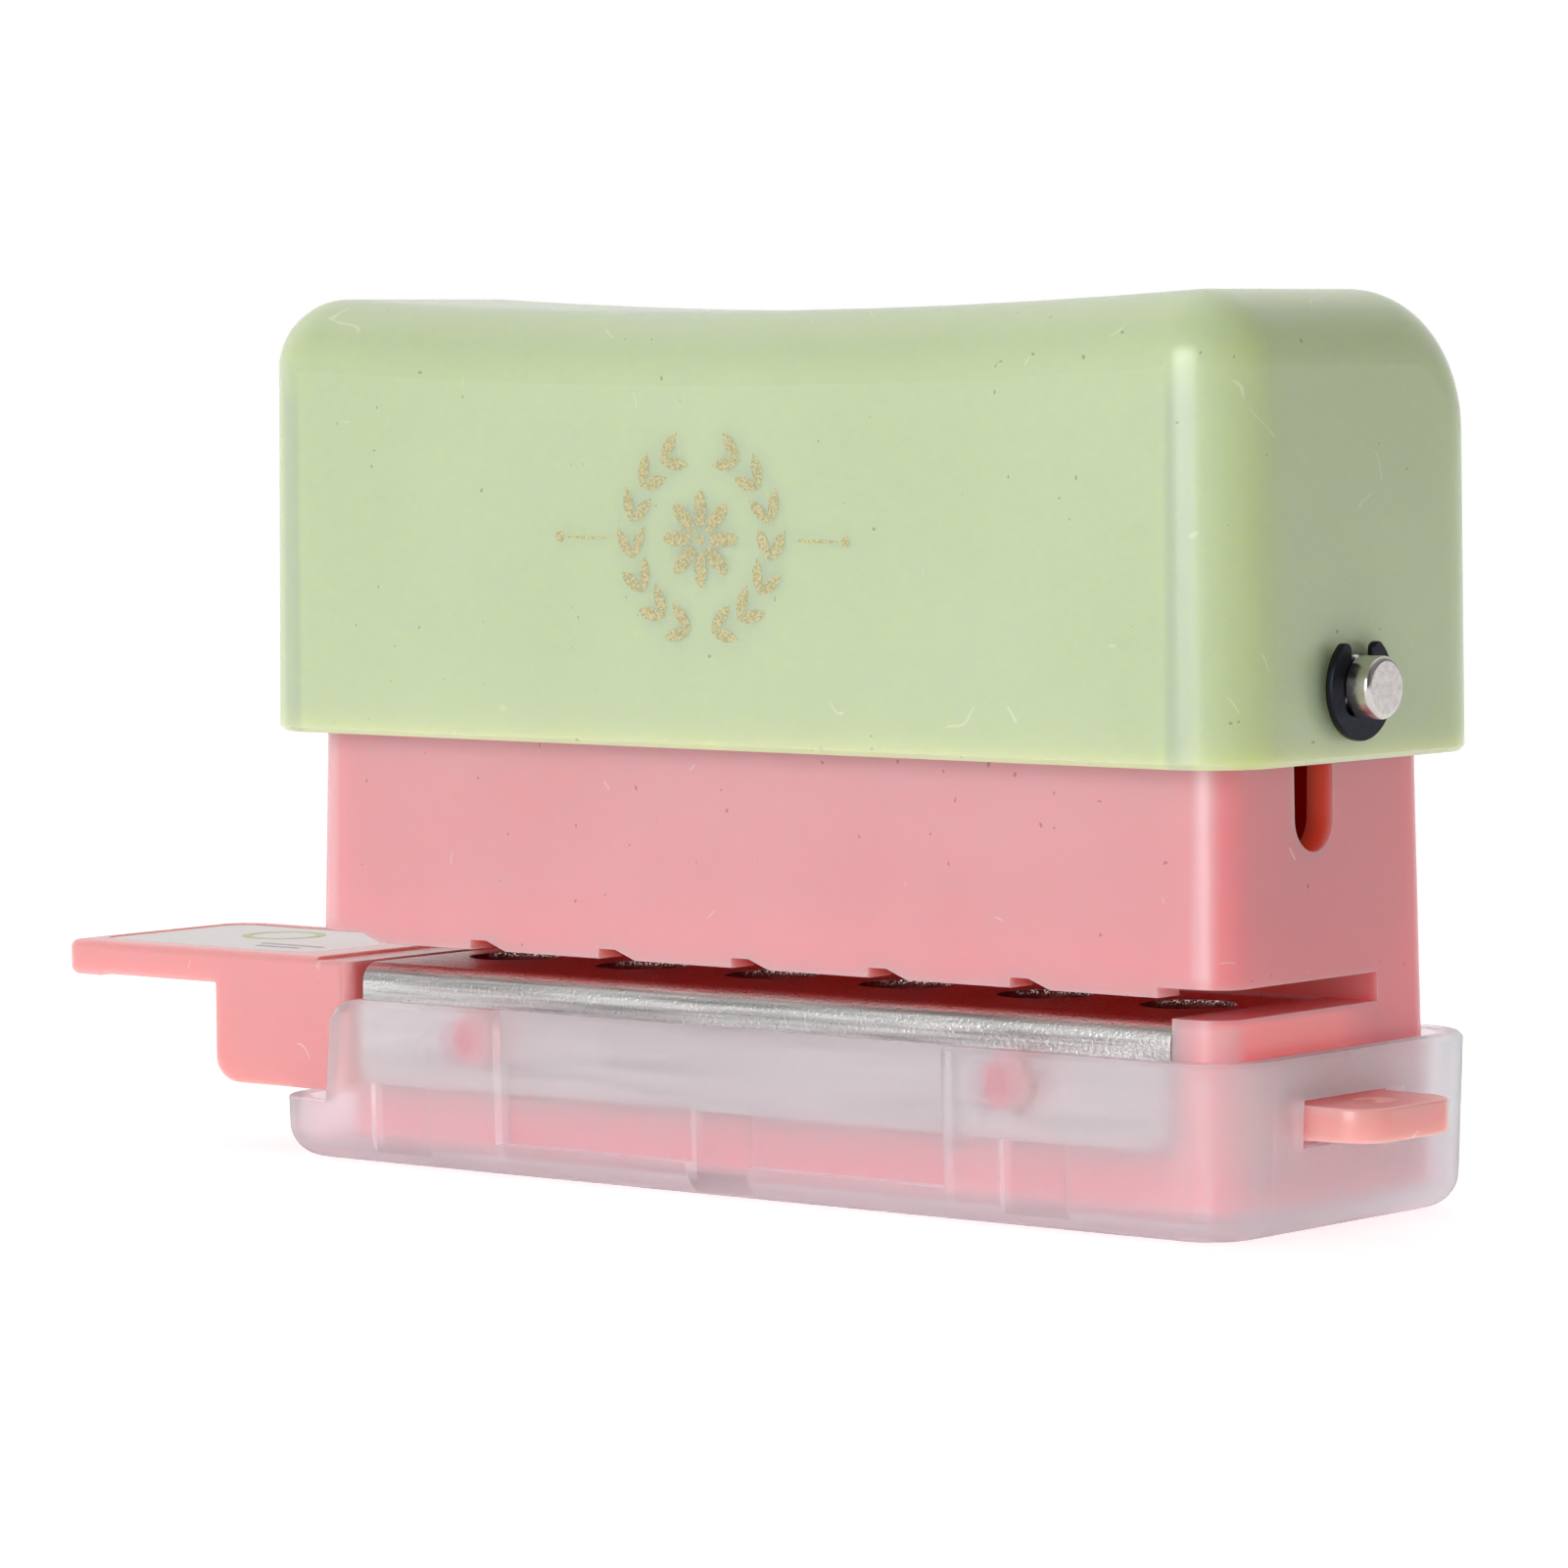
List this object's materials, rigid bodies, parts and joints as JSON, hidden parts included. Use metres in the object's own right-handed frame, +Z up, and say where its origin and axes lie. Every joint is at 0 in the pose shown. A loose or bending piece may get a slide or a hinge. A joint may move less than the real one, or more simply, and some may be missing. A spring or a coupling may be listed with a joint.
{
  "type": "loose-leaf hole punch",
  "caption": "Palm-sized loose-leaf hole punch: sprung press cover over a body with a row of punches, a die plate, a sliding paper guide and a swing-down chip tray.",
  "frame": {"origin": "on the surface the punch stands on, under the middle of the body", "axes": "+X along the row of holes towards the strap lug, +Y from the paper slot to the back, +Z up"},
  "size_m": [0.09, 0.0242, 0.0487],
  "materials": {
    "cover_green": "satin moulded",
    "body_pink": "satin moulded",
    "guide_pink": "satin moulded",
    "tray_frosted": "frosted, translucent",
    "plate_steel": "satin",
    "punch_steel": "ground",
    "spring_steel": "drawn wire",
    "shaft_nickel": "nickel-plated, turned",
    "clip_black": "black oxide",
    "label_white": "satin sticker"
  },
  "bodies": {
    "body": {"body_housing": "body_pink", "die_plate": "plate_steel", "return_spring_1": "spring_steel", "return_spring_2": "spring_steel", "return_spring_3": "spring_steel", "return_spring_4": "spring_steel", "return_spring_5": "spring_steel", "return_spring_6": "spring_steel"},
    "cover": {"press_cover": "cover_green", "cross_shaft": "shaft_nickel", "shaft_clip_left": "clip_black", "shaft_clip_right": "clip_black", "punch_1": "punch_steel", "punch_2": "punch_steel", "punch_3": "punch_steel", "punch_4": "punch_steel", "punch_5": "punch_steel", "punch_6": "punch_steel"},
    "tray": {"chip_tray": "tray_frosted"},
    "guide": {"paper_guide": "guide_pink", "guide_label": "label_white"}
  },
  "joints": [
    {"name": "press", "type": "slide", "parent": "body", "child": "cover", "axis": [0, 0, -1], "range_m": [0, 0.0066], "stiffness_N_per_m": 2200, "springref_m": -0.004, "deforming": ["return_spring_1", "return_spring_2", "return_spring_3", "return_spring_4", "return_spring_5", "return_spring_6"]},
    {"name": "tray_swing", "type": "hinge", "parent": "body", "child": "tray", "pos_m": [0.0333, 0, 0.0083], "axis": [0, -1, 0], "range_deg": [0, 15]},
    {"name": "guide_slide", "type": "slide", "parent": "body", "child": "guide", "axis": [-1, 0, 0], "range_m": [0, 0.0068]}
  ]
}
